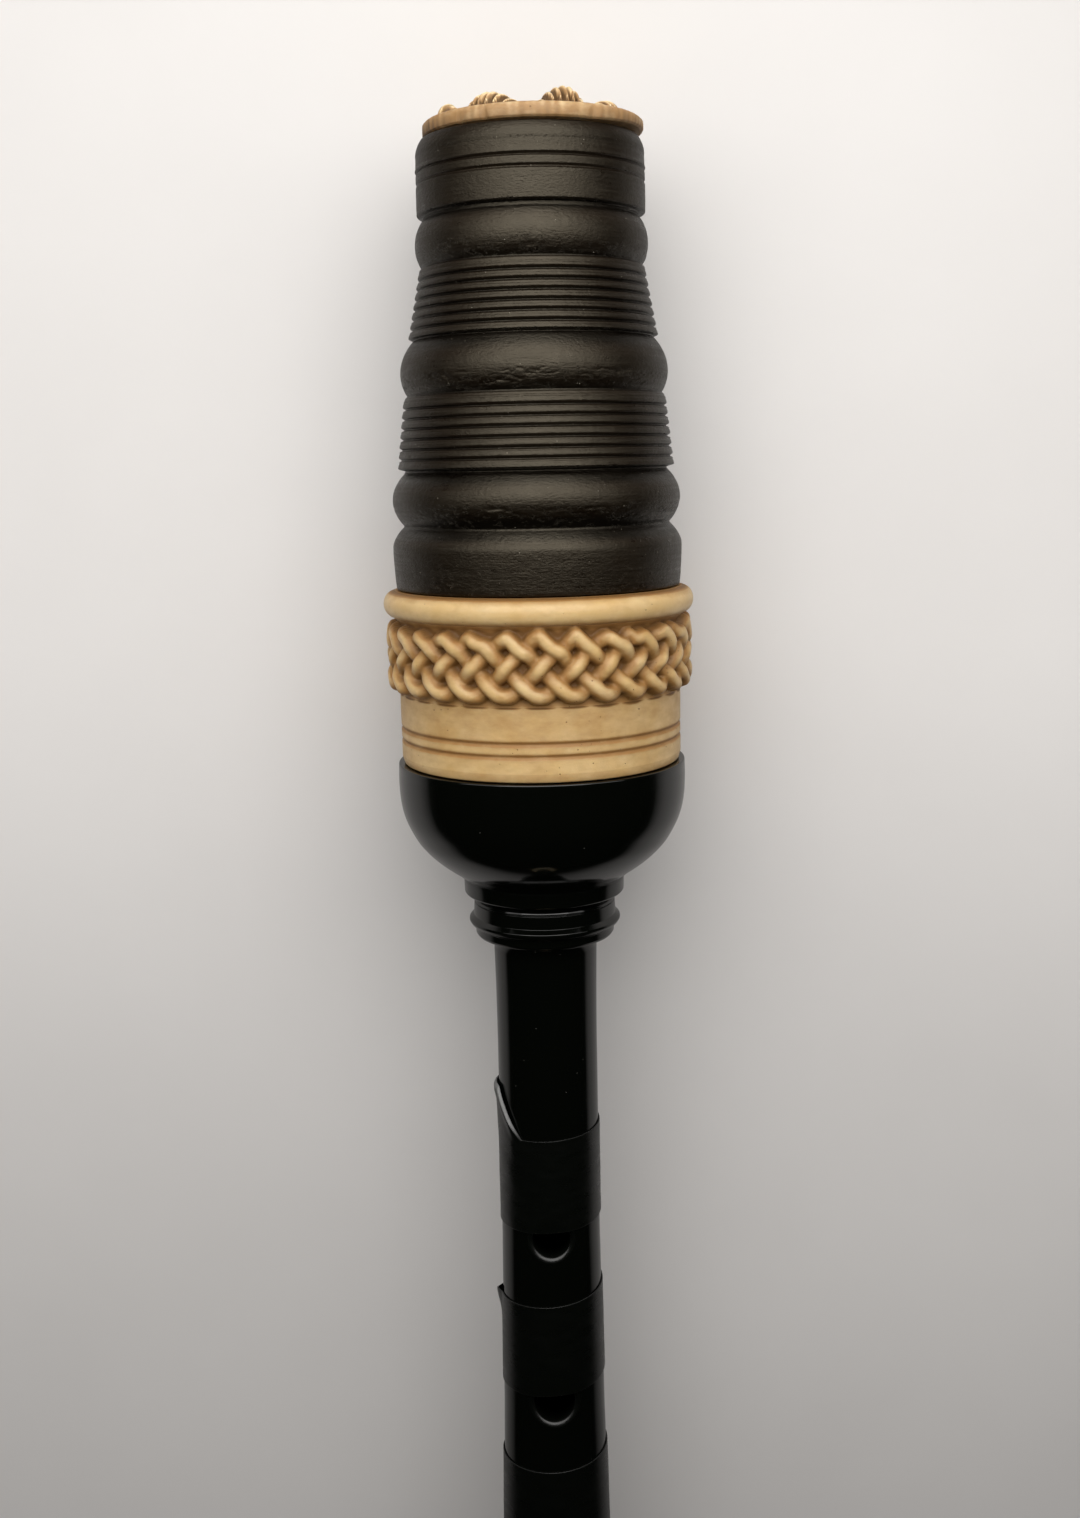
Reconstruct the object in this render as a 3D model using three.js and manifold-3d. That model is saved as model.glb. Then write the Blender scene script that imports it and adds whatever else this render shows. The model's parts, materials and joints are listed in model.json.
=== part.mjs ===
// A Highland pipe chanter with its reed, and the turned cap that covers the reed in storage.
// Millimetres, +Z up. It lies on a table, on the rims of its sole and of the cap's ferrule, with
// the seven finger holes up and the cap towards +Y. The origin is on the table under its middle.
// Every piece is first made standing on its sole: +Z up the bore, finger holes facing -Y, z = 0 at
// the sole's flat underside. The last lines lay the whole assembly down.
import * as THREE from "three";
import { mergeVertices } from "three/addons/utils/BufferGeometryUtils.js";
import Module from "manifold-3d";

const wasm = await Module();
wasm.setup();

// ---- Driving dimensions -------------------------------------------------------------------------

const FACETS = 32; // sides of every turned piece, so that nested pieces share their flats
const FIT = 0.1; // radial gap of a glued or pushed-on piece
const REST_GAP = 0.15; // gap where one piece stands on another

const CHANTER_LENGTH = 356;
const TENON_LENGTH = 31;
const RIM_Z = CHANTER_LENGTH - TENON_LENGTH; // the bulb's top face, which the cap stands on

const BULB_R = 21.25;
const BULB_STRAIGHT = 4.5; // straight wall under the rim
const BULB_DROP = 16.7; // half height of the ellipse under that wall
const NECK_Z = RIM_Z - 29.5; // where the tube leaves the turned collar

const SOLE_R = 29.5;
const SOLE_HEIGHT = 13;
const SOLE_EDGE = [2.2, 10.6]; // the rounded rim's two ends
const FOOT_R = 11.6; // the tube's foot inside the sole
const FOOT_Z = 0.5; // the tube ends just short of the sole's underside

const BORE_FOOT_R = 9;
const THROAT_R = 2;
const SEAT_DEPTH = 14; // tapered seat that the reed pushes into
const SEAT_MOUTH_R = 4.3;
const SEAT_FLOOR_R = 3.1;

const HEMP_R = 10.8;
const HEMP_FROM = 3.6; // above the rim
const HEMP_TO = 27.4;

// Finger holes: distance below the rim and diameter, top hole first.
const FINGER_HOLES = [
  { name: "high_g", below: 73.9, diameter: 5.8 },
  { name: "f", below: 101.2, diameter: 6.4 },
  { name: "e", below: 129.2, diameter: 6.4 },
  { name: "d", below: 155.7, diameter: 6.6 },
  { name: "c", below: 182.2, diameter: 6.4 },
  { name: "b", below: 209.2, diameter: 6.8 },
  { name: "low_a", below: 236.2, diameter: 7 },
];
const THUMB_HOLE = { below: 60.5, diameter: 5.6 };
const SOUND_HOLES = { below: 283, diameter: 9.5 };

const TAPE_WIDTH = 15;
const TAPE_THICKNESS = 0.3;
const TAPE_OVER_HOLE = 0.28; // share of each finger hole that its tape covers
const TAPE_THUMB_GAP_R = 5.2; // half width of the gap that keeps the thumb hole clear

const CAP_BORE_R = 11.2;
const CAP_BORE_TOP = 70; // above the rim
const CAP_SPIGOT_R = 17;
const FERRULE_TOP = 25.4;
const FERRULE_R = 20.6;
const FERRULE_BEAD = [21.6, 25.3]; // the top bead's two ends, above the rim
const FERRULE_BEAD_R = 22.65;
const BRAID_R = 22.1;
const CREST_R = 15.2;
const CREST_FROM = 87.3;
const CREST_THICKNESS = 1.9;
const CREST_SPIGOT_R = 10;
const CREST_SPIGOT_DEPTH = 3;

const REED_SEATED_DEPTH = 12;
const REED_HEIGHT = 23.5; // lips above the tenon
const STAPLE_BORE_R = 1.7;

// ---- Materials ----------------------------------------------------------------------------------

const finish = (color, roughness, metalness = 0) =>
  new THREE.MeshStandardMaterial({ color, roughness, metalness });

const blackPolish = finish(0x0b0b0c, 0.12);
const agedBlack = finish(0x2f2b26, 0.55);
const ivory = finish(0xe3cb98, 0.4);
const agedIvory = finish(0xb98f5c, 0.5);
const tapeBlack = finish(0x0e0e0f, 0.38);
const hempThread = finish(0xc79a4a, 0.8);
const cane = finish(0xd9b56a, 0.6);
const reedThread = finish(0x7a2f22, 0.7);
const copper = finish(0xb87343, 0.3, 1);

// ---- Solids -------------------------------------------------------------------------------------

// A closed geometry as a manifold-3d solid with its faces outwards.
function toSolid(geometry) {
  const bare = geometry.clone();
  bare.deleteAttribute("normal");
  bare.deleteAttribute("uv");
  const merged = mergeVertices(bare, 1e-4);
  const build = (indices) =>
    new wasm.Manifold(
      new wasm.Mesh({
        numProp: 3,
        vertProperties: new Float32Array(merged.attributes.position.array),
        triVerts: indices,
      }),
    );
  const triangles = new Uint32Array(merged.index.array);
  const solid = build(triangles);
  if (solid.volume() > 0) return solid;
  for (let i = 0; i < triangles.length; i += 3) {
    const swapped = triangles[i + 1];
    triangles[i + 1] = triangles[i + 2];
    triangles[i + 2] = swapped;
  }
  return build(triangles);
}

function toGeometry(solid) {
  const mesh = solid.getMesh();
  const positions = new Float32Array(mesh.numVert * 3);
  for (let i = 0; i < mesh.numVert; i++) {
    const from = i * mesh.numProp;
    positions.set(mesh.vertProperties.subarray(from, from + 3), i * 3);
  }
  const geometry = new THREE.BufferGeometry();
  geometry.setAttribute("position", new THREE.BufferAttribute(positions, 3));
  geometry.setIndex(new THREE.BufferAttribute(mesh.triVerts, 1));
  geometry.computeVertexNormals();
  return geometry;
}

// A turned solid from [radius, z] points that start and end on the axis or close on themselves,
// with one of its flats facing -Y.
function turned(profile, facets = FACETS) {
  const points = profile.map(([r, z]) => new THREE.Vector2(r, z));
  const geometry = new THREE.LatheGeometry(points, facets, Math.PI / facets);
  geometry.rotateX(Math.PI / 2);
  return toSolid(geometry);
}

// A turned ring: the outline is closed for the caller.
const ring = (profile, facets = FACETS) => turned([...profile, profile[0]], facets);

// A cylinder whose axis runs from the centre along the angle `turn`, measured from -Y towards +X.
function radialRod(radius, from, to, z, turn, facets = 20) {
  const geometry = new THREE.CylinderGeometry(radius, radius, to - from, facets);
  geometry.translate(0, -(from + to) / 2, 0);
  geometry.rotateZ(turn);
  geometry.translate(0, 0, z);
  return toSolid(geometry);
}

// ---- Profile stretches ----------------------------------------------------------------------------

// A bead that swells from rFrom to rPeak and back to rTo between two heights.
function bead(zFrom, zTo, rFrom, rPeak, rTo, steps = 6) {
  const stretch = [];
  for (let i = 0; i <= steps; i++) {
    const t = i / steps;
    const base = rFrom + (rTo - rFrom) * t;
    const swell = Math.sqrt(Math.max(0, 1 - (2 * t - 1) ** 2));
    stretch.push([base + (rPeak - (rFrom + rTo) / 2) * swell, zFrom + (zTo - zFrom) * t]);
  }
  return stretch;
}

// A run of combed ridges between two heights, on a cone from rFrom to rTo.
function combing(zFrom, zTo, rFrom, rTo, ridges, depth) {
  const stretch = [];
  const pitch = (zTo - zFrom) / ridges;
  for (let i = 0; i < ridges; i++) {
    const z = zFrom + i * pitch;
    const r = rFrom + ((rTo - rFrom) * i) / (ridges - 1);
    stretch.push([r - depth, z + 0.1 * pitch], [r, z + 0.55 * pitch]);
  }
  return stretch;
}

// ---- Chanter ------------------------------------------------------------------------------------

// Outer radius of the tube against the distance below the rim.
const TUBE = [
  [29.5, 7.85],
  [42, 7.64],
  [56, 7.66],
  [80, 7.74],
  [110, 8.17],
  [160, 9.1],
  [210, 10.15],
  [260, 11.3],
  [296, 12.3],
  [306, 12.8],
];

function tubeRadius(below) {
  const next = TUBE.findIndex(([at]) => at >= below);
  const [b1, r1] = TUBE[next];
  const [b0, r0] = TUBE[Math.max(0, next - 1)];
  return b1 === b0 ? r1 : r0 + ((r1 - r0) * (below - b0)) / (b1 - b0);
}

// The bulb's lower curve: a quarter ellipse down to the collar's first ring.
function bulbCurve() {
  const curve = [];
  const stopAngle = 0.965; // radians, where the ellipse meets the ring
  const steps = 8;
  for (let i = steps; i >= 0; i--) {
    const angle = (stopAngle * i) / steps;
    const z = RIM_Z - BULB_STRAIGHT - BULB_DROP * Math.sin(angle);
    curve.push([BULB_R * Math.cos(angle), z]);
  }
  return curve;
}

function collar() {
  const down = (r, below) => [r, RIM_Z - below];
  return [
    down(8.2, 26.9),
    down(10.4, 26.3),
    down(10.8, 24.7),
    down(11.4, 24.2),
    down(11.4, 23.6),
    down(10.7, 21.9),
    down(10.35, 20.1),
    down(11.95, 19.6),
    down(11.95, 18.3),
  ];
}

function chanterOutline() {
  const tube = TUBE.map(([below, r]) => [r, RIM_Z - below]).reverse();
  const tenon = [
    [10.4, RIM_Z],
    [10.4, RIM_Z + HEMP_FROM - 0.4],
    [9.2, RIM_Z + HEMP_FROM - 0.2],
    [9.2, RIM_Z + HEMP_TO + 0.2],
    [10.3, RIM_Z + HEMP_TO + 0.4],
    [10.3, CHANTER_LENGTH - 0.8],
    [9.6, CHANTER_LENGTH],
  ];
  const bore = [
    [SEAT_MOUTH_R, CHANTER_LENGTH],
    [SEAT_FLOOR_R, CHANTER_LENGTH - SEAT_DEPTH],
    [THROAT_R, CHANTER_LENGTH - SEAT_DEPTH - 1],
    [BORE_FOOT_R, FOOT_Z],
  ];
  return [
    [FOOT_R, FOOT_Z],
    [FOOT_R, SOLE_HEIGHT + REST_GAP],
    [13.4, SOLE_HEIGHT + REST_GAP],
    ...tube,
    ...collar(),
    ...bulbCurve(),
    [BULB_R, RIM_Z - 0.5],
    [BULB_R - 0.5, RIM_Z],
    ...tenon,
    ...bore,
  ];
}

function chanterSolid() {
  let body = ring(chanterOutline());
  const cut = (hole, turn) => {
    const drill = radialRod(hole.diameter / 2, 0.4, 20, RIM_Z - hole.below, turn);
    body = body.subtract(drill);
  };
  FINGER_HOLES.forEach((hole) => cut(hole, 0));
  cut(THUMB_HOLE, Math.PI);
  cut(SOUND_HOLES, Math.PI / 2);
  cut(SOUND_HOLES, -Math.PI / 2);
  return body;
}

function soleSolid() {
  const edge = bead(...SOLE_EDGE, SOLE_R - 2.2, SOLE_R, SOLE_R - 2.6);
  return ring([
    [FOOT_R + FIT, 0],
    [SOLE_R - 4.4, 0],
    ...edge,
    [SOLE_R - 4.6, 11.6],
    [14.6, SOLE_HEIGHT],
    [FOOT_R + FIT, SOLE_HEIGHT],
  ]);
}

// Wound thread that packs the tenon against the cap's bore.
function hempSolid() {
  const zFrom = RIM_Z + HEMP_FROM;
  const zTo = RIM_Z + HEMP_TO;
  return ring([
    [9.2 + FIT, zFrom],
    [HEMP_R - 0.5, zFrom],
    [HEMP_R, zFrom + 2],
    [HEMP_R, zTo - 3],
    [HEMP_R - 0.7, zTo],
    [9.2 + FIT, zTo],
  ]);
}

// One strip of tape round the tube, over the top of its finger hole.
function tapeSolid(hole) {
  const lower = hole.below - hole.diameter / 2 + hole.diameter * TAPE_OVER_HOLE;
  const upper = lower - TAPE_WIDTH;
  const bends = TUBE.map(([at]) => at).filter((at) => at > upper && at < lower);
  const stops = [upper, ...bends, lower];
  const gap = 0.06; // the tape's clearance over the tube
  const inner = stops.map((at) => [tubeRadius(at) + gap, RIM_Z - at]);
  const outer = stops.map((at) => [tubeRadius(at) + gap + TAPE_THICKNESS, RIM_Z - at]);
  return ring([...inner, ...outer.reverse()]);
}

// The top strip stops short of the thumb hole at the back.
function topTapeSolid(hole) {
  const slot = new THREE.BoxGeometry(2 * TAPE_THUMB_GAP_R, 20, 2 * TAPE_WIDTH);
  slot.translate(0, 10, RIM_Z - hole.below + TAPE_WIDTH / 2);
  return tapeSolid(hole).subtract(toSolid(slot));
}

// ---- Reed ---------------------------------------------------------------------------------------

const REED_FOOT_Z = CHANTER_LENGTH - REED_SEATED_DEPTH;
const BLADE_FROM = CHANTER_LENGTH + 6.3;
const BLADE_LENGTH = CHANTER_LENGTH + REED_HEIGHT - BLADE_FROM;
const BINDING_FROM = CHANTER_LENGTH + 0.8;
const BINDING_TO = CHANTER_LENGTH + 10.3;
const BINDING_BORE_R = 3.15;

function stapleSolid() {
  const top = CHANTER_LENGTH + 6;
  return ring(
    [
      [STAPLE_BORE_R, REED_FOOT_Z],
      [2.15, REED_FOOT_Z],
      [2.95, top],
      [2.45, top],
    ],
    24,
  );
}

// Thread wound round the staple so that it grips the tapered seat.
function seatThreadSolid() {
  const top = CHANTER_LENGTH - 1;
  const stapleAt = (z) => 2.15 + (0.8 * (z - REED_FOOT_Z)) / (CHANTER_LENGTH + 6 - REED_FOOT_Z);
  const foot = REED_FOOT_Z + 1.5;
  return ring(
    [
      [stapleAt(foot) + FIT, foot],
      [3.05, foot],
      [3.95, top],
      [stapleAt(top) + FIT, top],
    ],
    24,
  );
}

function bindingSolid() {
  return ring(
    [
      [BINDING_BORE_R, BINDING_FROM],
      [3.8, BINDING_FROM],
      [4.25, BINDING_FROM + 1.5],
      [4.25, BINDING_TO - 1.5],
      [3.9, BINDING_TO],
      [BINDING_BORE_R, BINDING_TO],
    ],
    24,
  );
}

// One cane blade: half round at the binding, flat and wide at the lips. side is -1 or 1 along Y.
function bladeGeometry(side) {
  const outline = new THREE.Shape();
  outline.absarc(0, 0, 1, 0, Math.PI, false);
  outline.closePath();
  const geometry = new THREE.ExtrudeGeometry(outline, {
    depth: BLADE_LENGTH,
    steps: 8,
    curveSegments: 10,
    bevelEnabled: false,
  });
  const position = geometry.attributes.position;
  const rootR = BINDING_BORE_R - FIT - 0.05;
  const held = (BINDING_TO - BLADE_FROM) / BLADE_LENGTH; // share of the blade inside the binding
  for (let i = 0; i < position.count; i++) {
    const t = position.getZ(i) / BLADE_LENGTH;
    const free = Math.max(0, (t - held) / (1 - held));
    const halfWidth = rootR + 2.5 * Math.sin((free * Math.PI) / 2);
    const thickness = rootR - 0.2 - 1.75 * free;
    position.setX(i, position.getX(i) * halfWidth);
    position.setY(i, side * (position.getY(i) * thickness + 0.12));
    position.setZ(i, position.getZ(i) + BLADE_FROM);
  }
  return toGeometry(toSolid(geometry));
}

// ---- Cap ----------------------------------------------------------------------------------------

const above = (profile) => profile.map(([r, z]) => [r, RIM_Z + z]);

function capBodySolid() {
  return turned(
    above([
      [0, CAP_BORE_TOP],
      [CAP_BORE_R - 1, CAP_BORE_TOP],
      [CAP_BORE_R, CAP_BORE_TOP - 1.5],
      [CAP_BORE_R, 1.4],
      [CAP_BORE_R + 0.8, 0.3],
      [CAP_SPIGOT_R, 0.3],
      [CAP_SPIGOT_R, FERRULE_TOP + REST_GAP],
      [20.55, FERRULE_TOP + REST_GAP],
      [20.85, 29],
      [20.8, 31.5],
      [20.3, 33],
      [19.1, 34.1],
      ...bead(34.5, 41, 19.1, 20.75, 19),
      ...combing(41.4, 52, 19.85, 18.85, 7, 0.5),
      ...bead(52.3, 59.3, 18, 19.05, 17.3),
      ...combing(59.7, 69.2, 17.65, 16.1, 7, 0.45),
      ...bead(69.5, 75.7, 15.4, 16.4, 15.2),
      [15.3, 76.1],
      [16.05, 77],
      [16, 80.3],
      [15.8, 80.7],
      [15.98, 81.1],
      [15.95, 81.8],
      [15.75, 82.2],
      [15.9, 82.6],
      [15.8, 85.6],
      [15.3, CREST_FROM - REST_GAP],
      [CREST_SPIGOT_R + 2 * FIT, CREST_FROM - REST_GAP],
      [CREST_SPIGOT_R + 2 * FIT, CREST_FROM - CREST_SPIGOT_DEPTH - 2 * REST_GAP],
      [0, CREST_FROM - CREST_SPIGOT_DEPTH - 2 * REST_GAP],
    ]),
  );
}

function ferruleSolid() {
  return ring(
    above([
      [CAP_SPIGOT_R + FIT, REST_GAP],
      [FERRULE_R - 0.3, REST_GAP],
      [FERRULE_R, 0.6],
      [FERRULE_R, 3.3],
      [FERRULE_R - 0.3, 3.5],
      [FERRULE_R, 3.7],
      [FERRULE_R, 5.1],
      [FERRULE_R - 0.3, 5.3],
      [FERRULE_R, 5.5],
      [FERRULE_R, 11],
      [BRAID_R - 0.4, 11.7],
      [BRAID_R, 13],
      [BRAID_R, 20],
      [BRAID_R - 0.6, 21.4],
      ...bead(...FERRULE_BEAD, FERRULE_BEAD_R - 1.5, FERRULE_BEAD_R, FERRULE_BEAD_R - 1.5),
      [CAP_SPIGOT_R + FIT, FERRULE_TOP],
    ]),
  );
}

// The relief on the crest: bosses round the rim and one in the middle, as [angle from -Y in degrees,
// distance from the axis, half width, height].
const CREST_BOSSES = [
  [-26, 11.6, 2.7, 2],
  [22, 11.4, 2.8, 2.6],
  [-62, 11.8, 2.1, 1.3],
  [62, 11.6, 2.4, 1],
  [103, 11.4, 2.6, 1.9],
  [-103, 11.4, 2.6, 1.9],
  [144, 11.4, 2.6, 2],
  [-144, 11.4, 2.6, 2],
  [180, 11.4, 2.4, 1.6],
  [0, 0, 4.2, 3.6],
];

function crestSolid() {
  const top = RIM_Z + CREST_FROM + CREST_THICKNESS;
  const disc = turned([
    [0, RIM_Z + CREST_FROM - CREST_SPIGOT_DEPTH],
    [CREST_SPIGOT_R, RIM_Z + CREST_FROM - CREST_SPIGOT_DEPTH],
    [CREST_SPIGOT_R, RIM_Z + CREST_FROM],
    [CREST_R - 0.3, RIM_Z + CREST_FROM],
    [CREST_R, RIM_Z + CREST_FROM + 0.4],
    [CREST_R, top - 0.3],
    [CREST_R - 0.4, top],
    [0, top],
  ]);
  const trim = new THREE.CylinderGeometry(CREST_R - 0.5, CREST_R - 0.5, 20, FACETS);
  trim.rotateX(Math.PI / 2);
  trim.translate(0, 0, top - 1 + 10);
  const bounds = toSolid(trim);
  return CREST_BOSSES.reduce((crest, [degrees, distance, halfWidth, height]) => {
    const angle = THREE.MathUtils.degToRad(degrees);
    const boss = new THREE.SphereGeometry(1, 10, 6);
    boss.scale(halfWidth, halfWidth, height);
    boss.translate(distance * Math.sin(angle), -distance * Math.cos(angle), top);
    return crest.add(toSolid(boss).intersect(bounds));
  }, disc);
}

// ---- Assembly -----------------------------------------------------------------------------------

const assembly = new THREE.Group();

function place(name, geometry, material) {
  const mesh = new THREE.Mesh(geometry, material);
  mesh.name = name;
  assembly.add(mesh);
}

place("chanter_body", toGeometry(chanterSolid()), blackPolish);
place("sole_ring", toGeometry(soleSolid()), ivory);
place("tenon_hemp", toGeometry(hempSolid()), hempThread);
FINGER_HOLES.forEach((hole, i) => {
  const solid = i === 0 ? topTapeSolid(hole) : tapeSolid(hole);
  place("tape_" + hole.name, toGeometry(solid), tapeBlack);
});

place("reed_staple", toGeometry(stapleSolid()), copper);
place("reed_seat_thread", toGeometry(seatThreadSolid()), hempThread);
place("reed_blade_front", bladeGeometry(-1), cane);
place("reed_blade_back", bladeGeometry(1), cane);
place("reed_binding", toGeometry(bindingSolid()), reedThread);

place("cap_body", toGeometry(capBodySolid()), agedBlack);
place("cap_ferrule", toGeometry(ferruleSolid()), ivory);
place("cap_crest", toGeometry(crestSolid()), agedIvory);

// The two rims that it rests on set how far the axis leans: the cap's end is the lower one.
const middle = ([from, to]) => (from + to) / 2;
const restSpan = RIM_Z + middle(FERRULE_BEAD) - middle(SOLE_EDGE);
const restRise = (SOLE_R - FERRULE_BEAD_R) * Math.cos(Math.PI / FACETS);
const lean = Math.asin(restRise / Math.hypot(restSpan, restRise));
const layDown = (geometry) => geometry.rotateX(-Math.PI / 2 - lean);

assembly.children.forEach((mesh) => layDown(mesh.geometry));
const extent = new THREE.Box3().setFromObject(assembly, true);
const centre = extent.getCenter(new THREE.Vector3());
assembly.children.forEach((mesh) => mesh.geometry.translate(0, -centre.y, -extent.min.z));

export default assembly;
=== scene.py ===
"""A Highland pipe chanter under its turned reed cap, lying on a pale table, seven finger holes up."""
import json
import math
from math import pi, tau

import bmesh
import bpy
import numpy as np
from mathutils import Matrix, Vector


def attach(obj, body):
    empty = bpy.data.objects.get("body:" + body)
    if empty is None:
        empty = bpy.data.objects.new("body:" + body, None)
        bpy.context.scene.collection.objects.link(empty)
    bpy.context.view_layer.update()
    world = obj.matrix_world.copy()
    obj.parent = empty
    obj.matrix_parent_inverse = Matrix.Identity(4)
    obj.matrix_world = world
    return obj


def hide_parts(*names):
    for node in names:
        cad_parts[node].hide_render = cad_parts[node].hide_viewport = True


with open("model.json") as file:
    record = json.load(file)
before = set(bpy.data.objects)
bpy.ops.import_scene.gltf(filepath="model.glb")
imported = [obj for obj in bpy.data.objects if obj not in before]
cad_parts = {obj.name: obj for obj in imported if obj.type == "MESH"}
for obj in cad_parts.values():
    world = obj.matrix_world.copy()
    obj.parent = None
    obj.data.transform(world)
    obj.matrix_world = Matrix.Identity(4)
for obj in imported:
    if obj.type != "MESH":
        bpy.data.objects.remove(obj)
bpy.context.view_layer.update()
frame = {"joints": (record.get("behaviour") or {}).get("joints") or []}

# ---- The frame ----
# Every piece is turned upright, in millimetres: z runs up the bore from the sole's underside, and the
# finger holes face -Y. LAY puts it on the table with the CAD nodes, in metres.

MM, DEG = 0.001, pi / 180
AXIS = Vector(frame["joints"][0]["axis"])
LEAN = -math.asin(AXIS.z)
SOLE_CENTRE = Vector((0, -0.2085216, 0.0294796))  # the middle of the sole's underside, as it lies
LAY = Matrix.Translation(SOLE_CENTRE) @ Matrix.Rotation(-pi / 2 - LEAN, 4, "X")
RIM = 325  # the bulb's top face
LENGTH = 356  # the whole chanter


# ---- Meshes ----


def show(name, data):
    """An object of the scene, for a mesh, lamp or camera."""
    obj = bpy.data.objects.new(name, data)
    bpy.context.scene.collection.objects.link(obj)
    return obj


def piece(name, body, slot, node, material, points, faces, **marks):
    """A closed piece from upright millimetre points, with the marks as point attributes for its material."""
    points = np.asarray(points, float)
    laid = (np.c_[points * MM, np.ones(len(points))] @ np.array(LAY).T)[:, :3]
    mesh = bpy.data.meshes.new(name)
    mesh.from_pydata(laid.tolist(), [], faces)
    upright = mesh.attributes.new("upright", "FLOAT_VECTOR", "POINT")
    upright.data.foreach_set("vector", (points - (0, 0, RIM)).astype(np.float32).ravel())
    for mark, values in marks.items():
        made = mesh.attributes.new(mark, "FLOAT", "POINT")
        made.data.foreach_set("value", np.asarray(values, np.float32).ravel())
    shell = bmesh.new()
    shell.from_mesh(mesh)
    bmesh.ops.delete(shell, geom=[v for v in shell.verts if not v.link_faces], context="VERTS")
    bmesh.ops.recalc_face_normals(shell, faces=shell.faces)
    shell.to_mesh(mesh)
    shell.free()
    mesh.shade_smooth()
    mesh.materials.append(material)
    obj = show(name, mesh)
    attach(obj, body)
    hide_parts(node)


def turned(name, body, slot, node, material, radii, heights, angles, faces=None, **marks):
    """A piece spun about the bore. Its first and last rows join, unless faces says otherwise."""
    points = spin(radii, heights, angles)
    faces = faces or grid_faces(len(heights), len(angles))
    marks = {mark: grid(angles, values) for mark, values in marks.items()}
    piece(name, body, slot, node, material, points, faces, **marks)


def grid_faces(rows, cols, loop_rows=True, skip=()):
    """Quads between rows of a turned grid; skip holds the (row, column) cells left open."""
    faces = []
    for i in range(rows if loop_rows else rows - 1):
        low, high = i * cols, (i + 1) % rows * cols
        for j in range(cols):
            if (i, j) not in skip:
                k = (j + 1) % cols
                faces.append((low + j, low + k, high + k, high + j))
    return faces


def capped(rows, cols):
    """Quads between rows of a turned grid, with its first and last rows closed by a face each."""
    last = (rows - 1) * cols
    return grid_faces(rows, cols, False) + [tuple(range(cols)), tuple(range(last, last + cols))]


def join(faces, a, b):
    """Adds the quads between two loops of points."""
    count = len(a)
    faces += [(a[k], a[(k + 1) % count], b[(k + 1) % count], b[k]) for k in range(count)]


def columns(count):
    """Even angles round the bore. Angle 0 is -Y, and +X is at 90 degrees."""
    return np.arange(count) * tau / count


def polar(radii, angles, heights):
    return np.stack([radii * np.sin(angles), -radii * np.cos(angles), heights], -1)


def grid(angles, *parts):
    """One number for every row and column, from parts that hold one per row, or rows by columns."""
    return np.vstack([np.reshape(part, (len(part), -1)) + np.zeros(len(angles)) for part in parts])


def spin(radii, heights, angles):
    """Points of a turned grid."""
    return polar(grid(angles, radii), angles, grid(angles, heights)).reshape(-1, 3)


def ease(value, low, high):
    """0 up to low, 1 from high, and a smooth rise between."""
    t = np.clip((np.asarray(value, float) - low) / (high - low), 0, 1)
    return t * t * (3 - 2 * t)


def hump(x, width, power=2):
    """1 at x = 0, falling off smoothly within about two widths."""
    return np.exp(-(np.abs(x / width) ** power))


def wrapped(angles):
    """The angles, from -pi to pi."""
    return (angles + pi) % tau - pi


def fillet(corners, steps=4):
    """A profile of (r, z, radius) corners with each one rounded to its radius."""
    out = []
    count = len(corners)
    for i, (r, z, radius) in enumerate(corners):
        here = np.array((r, z), float)
        if radius == 0:
            out.append(here)
            continue
        before = np.array(corners[i - 1][:2], float) - here
        after = np.array(corners[(i + 1) % count][:2], float) - here
        reach = min(np.linalg.norm(before), np.linalg.norm(after)) * 0.49  # so that neighbours stay apart
        before /= np.linalg.norm(before)
        after /= np.linalg.norm(after)
        half = math.acos(np.clip(before @ after, -1, 1)) / 2
        setback = min(radius / max(math.tan(half), 1e-6), reach)
        start, end = here + before * setback, here + after * setback
        for t in np.linspace(0, 1, steps + 1):
            out.append((1 - t) ** 2 * start + 2 * t * (1 - t) * here + t**2 * end)
    return np.array(out)


def flow(points, step):
    """A smooth curve through (z, r) points that never swings past them, as (r, z) rows about step apart."""
    z, r = np.asarray(points, float).T
    chord = np.diff(r) / np.diff(z)
    before, after = chord[:-1], chord[1:]
    same = before * after > 0
    middle = np.where(same, 2 * before * after / np.where(same, before + after, 1), 0)
    slope = np.concatenate([chord[:1], middle, chord[-1:]])
    rows = []
    for i in range(len(z) - 1):
        span = z[i + 1] - z[i]
        n = max(1, round(abs(span) / step))
        t = np.arange(n) / n
        start, end = 2 * t**3 - 3 * t**2 + 1, -2 * t**3 + 3 * t**2
        leave, arrive = t**3 - 2 * t**2 + t, t**3 - t**2
        value = start * r[i] + end * r[i + 1] + span * (leave * slope[i] + arrive * slope[i + 1])
        rows += list(zip(value, z[i] + span * t))
    rows.append((r[-1], z[-1]))
    return np.array(rows)


def wobble(angles, heights, seed, size):
    """A slow unevenness over a turned surface, rows by columns."""
    rng = np.random.default_rng(seed)
    total = np.zeros((len(heights), len(angles)))
    for _ in range(7):
        turns, wave = rng.integers(1, 6), rng.uniform(6, 40)
        phase, shift = rng.uniform(0, 6.28, 2)
        total += np.outer(np.sin(heights / wave * 6.28 + shift), np.cos(turns * angles + phase))
    return total * size / 3


# ---- Materials ----


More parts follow.
